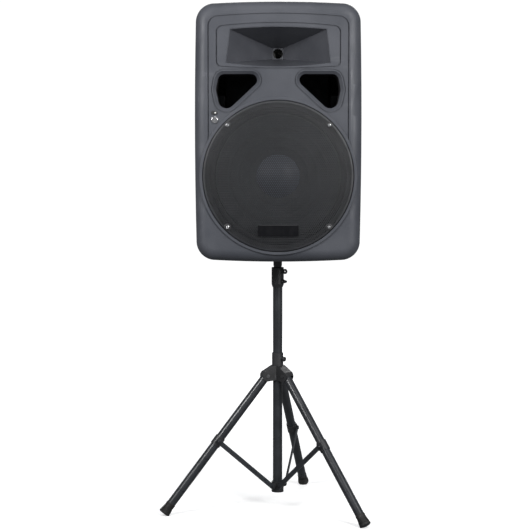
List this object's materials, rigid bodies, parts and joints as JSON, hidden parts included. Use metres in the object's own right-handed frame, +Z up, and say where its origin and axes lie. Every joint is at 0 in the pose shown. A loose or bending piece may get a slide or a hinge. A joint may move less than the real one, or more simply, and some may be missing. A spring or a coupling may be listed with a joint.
{
  "type": "pa speaker",
  "caption": "Moulded two-way PA loudspeaker with round grille, wide horn and corner ports, on a folding tripod stand with a sliding mast.",
  "frame": {"origin": "on the floor, at the middle of the whole object's footprint", "axes": "+Z up, the grille faces -Y, +X to the right seen from the front"},
  "size_m": [0.5694, 0.5664, 1.3912],
  "materials": {
    "cabinet_plastic": "fine-textured satin moulding",
    "horn_plastic": "satin moulding",
    "black_plastic": "satin black",
    "grille_metal": "fine perforated steel, powder coated",
    "cone_paper": "pressed paper pulp",
    "cap_paper": "coated paper",
    "surround": "doped cloth",
    "coil": "enamelled wire",
    "basket_alloy": "black cast alloy",
    "magnet_iron": "plated plates and ferrite",
    "screw_steel": "bright zinc",
    "dark_screw": "black zinc",
    "badge": "gloss black, blank",
    "lamp_lens": "clear",
    "button_chrome": "satin chrome",
    "panel_metal": "black anodised",
    "board": "circuit board",
    "jack_metal": "nickel",
    "stand_paint": "semi-gloss black powder coat",
    "stand_plastic": "moulded nylon",
    "foot_rubber": "moulded rubber"
  },
  "bodies": {
    "mast": {"mast_tube": "stand_paint", "upper_clamp": "stand_plastic", "bottom_collar": "stand_plastic", "collar_pins": "dark_screw"},
    "hub": {"hub": "stand_plastic", "hub_pins": "screw_steel"},
    "hub_knob": {"hub_knob": "stand_plastic"},
    "inner_tube": {"inner_tube": "stand_paint"},
    "pole_sleeve": {"pole_sleeve": "stand_plastic"},
    "clamp_knob": {"clamp_knob": "stand_plastic"},
    "lock_knob": {"lock_knob": "stand_plastic"},
    "woofer_moving": {"woofer_cone": "cone_paper", "dust_cap": "cap_paper", "voice_coil": "coil"},
    "push_button": {"push_button": "button_chrome"},
    "power_rocker": {"power_rocker": "black_plastic"},
    "level_knob": {"level_knob": "black_plastic"},
    "bass_knob": {"bass_knob": "black_plastic"},
    "treble_knob": {"treble_knob": "black_plastic"},
    "leg_right": {"leg_right": "stand_paint", "foot_right": "foot_rubber", "bracket_right": "stand_plastic"},
    "brace_right": {"brace_right": "stand_paint", "rivet_right": "dark_screw"},
    "leg_rear": {"leg_rear": "stand_paint", "foot_rear": "foot_rubber", "bracket_rear": "stand_plastic"},
    "brace_rear": {"brace_rear": "stand_paint", "rivet_rear": "dark_screw"},
    "leg_left": {"leg_left": "stand_paint", "foot_left": "foot_rubber", "bracket_left": "stand_plastic"},
    "brace_left": {"brace_left": "stand_paint", "rivet_left": "dark_screw"},
    "cabinet": {"amp_board": "board", "amp_heatsink": "panel_metal", "amp_panel": "panel_metal", "badge_plate": "badge", "compression_driver": "magnet_iron", "front_shell": "cabinet_plastic", "grille": "grille_metal", "grille_screws": "screw_steel", "horn_flare": "horn_plastic", "indicator_bezel": "black_plastic", "indicator_lens": "lamp_lens", "input_jacks": "jack_metal", "mains_inlet": "black_plastic", "panel_screws": "dark_screw", "pole_cup": "black_plastic", "port_tubes": "black_plastic", "potentiometers": "black_plastic", "rear_shell": "cabinet_plastic", "shell_screws": "dark_screw", "top_handle": "black_plastic", "transformer": "magnet_iron", "woofer_basket": "basket_alloy", "woofer_bolts": "dark_screw", "woofer_magnet": "magnet_iron", "woofer_spider": "surround", "woofer_surround": "surround"}
  },
  "joints": [
    {"name": "tripod_fold", "type": "slide", "parent": "mast", "child": "hub", "axis": [0, 0, 1], "range_m": [0, 0.11716]},
    {"name": "leg_right_hinge", "type": "hinge", "parent": "hub", "child": "leg_right", "pos_m": [0.06234, -0.06508, 0.3763], "axis": [0.6997, 0.7145, 0], "range_deg": [0, 38.45]},
    {"name": "brace_right_hinge", "type": "hinge", "parent": "mast", "child": "brace_right", "pos_m": [0.05376, -0.05668, 0.066], "axis": [0.6997, 0.7145, 0], "range_deg": [-45.43, 0]},
    {"name": "leg_rear_hinge", "type": "hinge", "parent": "hub", "child": "leg_rear", "pos_m": [0.04743, -0.01169, 0.3763], "axis": [-0.9686, 0.2487, 0], "range_deg": [0, 38.45]},
    {"name": "brace_rear_hinge", "type": "hinge", "parent": "mast", "child": "brace_rear", "pos_m": [0.04445, -0.02332, 0.066], "axis": [-0.9686, 0.2487, 0], "range_deg": [-45.43, 0]},
    {"name": "leg_left_hinge", "type": "hinge", "parent": "hub", "child": "leg_left", "pos_m": [0.00865, -0.05129, 0.3763], "axis": [0.2689, -0.9632, 0], "range_deg": [0, 38.45]},
    {"name": "brace_left_hinge", "type": "hinge", "parent": "mast", "child": "brace_left", "pos_m": [0.02021, -0.04807, 0.066], "axis": [0.2689, -0.9632, 0], "range_deg": [-45.43, 0]},
    {"name": "hub_knob_turn", "type": "hinge", "parent": "hub", "child": "hub_knob", "pos_m": [0.05681, -0.05623, 0.423], "axis": [0.788, -0.6157, 0], "range_deg": [0, 720]},
    {"name": "height_slide", "type": "slide", "parent": "mast", "child": "inner_tube", "axis": [0, 0, 1], "range_m": [0, 0.44]},
    {"name": "clamp_knob_turn", "type": "hinge", "parent": "mast", "child": "clamp_knob", "pos_m": [0.05681, -0.05623, 0.667], "axis": [0.788, -0.6157, 0], "range_deg": [0, 720]},
    {"name": "lock_knob_turn", "type": "hinge", "parent": "mast", "child": "lock_knob", "pos_m": [0.05681, -0.05623, 0.639], "axis": [0.788, -0.6157, 0], "range_deg": [0, 720]},
    {"name": "speaker_swivel", "type": "hinge", "parent": "inner_tube", "child": "pole_sleeve", "pos_m": [0.03947, -0.04269, 0.757], "axis": [0, 0, 1], "continuous": true},
    {"name": "speaker_lift", "type": "slide", "parent": "pole_sleeve", "child": "cabinet", "axis": [0, 0, 1], "range_m": [0, 0.112]},
    {"name": "cone_travel", "type": "slide", "parent": "cabinet", "child": "woofer_moving", "axis": [0, 1, 0], "range_m": [-0.006, 0.006], "stiffness_N_per_m": 4000},
    {"name": "button_press", "type": "slide", "parent": "cabinet", "child": "push_button", "axis": [0, 1, 0], "range_m": [0, 0.002], "stiffness_N_per_m": 400, "springref_m": -0.002},
    {"name": "rocker_tilt", "type": "hinge", "parent": "cabinet", "child": "power_rocker", "pos_m": [0.09447, 0.15681, 0.9199], "axis": [1, 0, 0], "range_deg": [0, 16]},
    {"name": "level_knob_turn", "type": "hinge", "parent": "cabinet", "child": "level_knob", "pos_m": [-0.02053, 0.16431, 1.0172], "axis": [0, 1, 0], "range_deg": [-150, 150]},
    {"name": "bass_knob_turn", "type": "hinge", "parent": "cabinet", "child": "bass_knob", "pos_m": [0.03947, 0.16431, 1.0172], "axis": [0, 1, 0], "range_deg": [-150, 150]},
    {"name": "treble_knob_turn", "type": "hinge", "parent": "cabinet", "child": "treble_knob", "pos_m": [0.09947, 0.16431, 1.0172], "axis": [0, 1, 0], "range_deg": [-150, 150]}
  ],
  "couplings": [
    {"joint": "leg_right_hinge", "follows": "tripod_fold", "rad_per_m": 5.7135},
    {"joint": "brace_right_hinge", "follows": "tripod_fold", "rad_per_m": -6.7525},
    {"joint": "leg_rear_hinge", "follows": "tripod_fold", "rad_per_m": 5.7135},
    {"joint": "brace_rear_hinge", "follows": "tripod_fold", "rad_per_m": -6.7525},
    {"joint": "leg_left_hinge", "follows": "tripod_fold", "rad_per_m": 5.7135},
    {"joint": "brace_left_hinge", "follows": "tripod_fold", "rad_per_m": -6.7525}
  ]
}
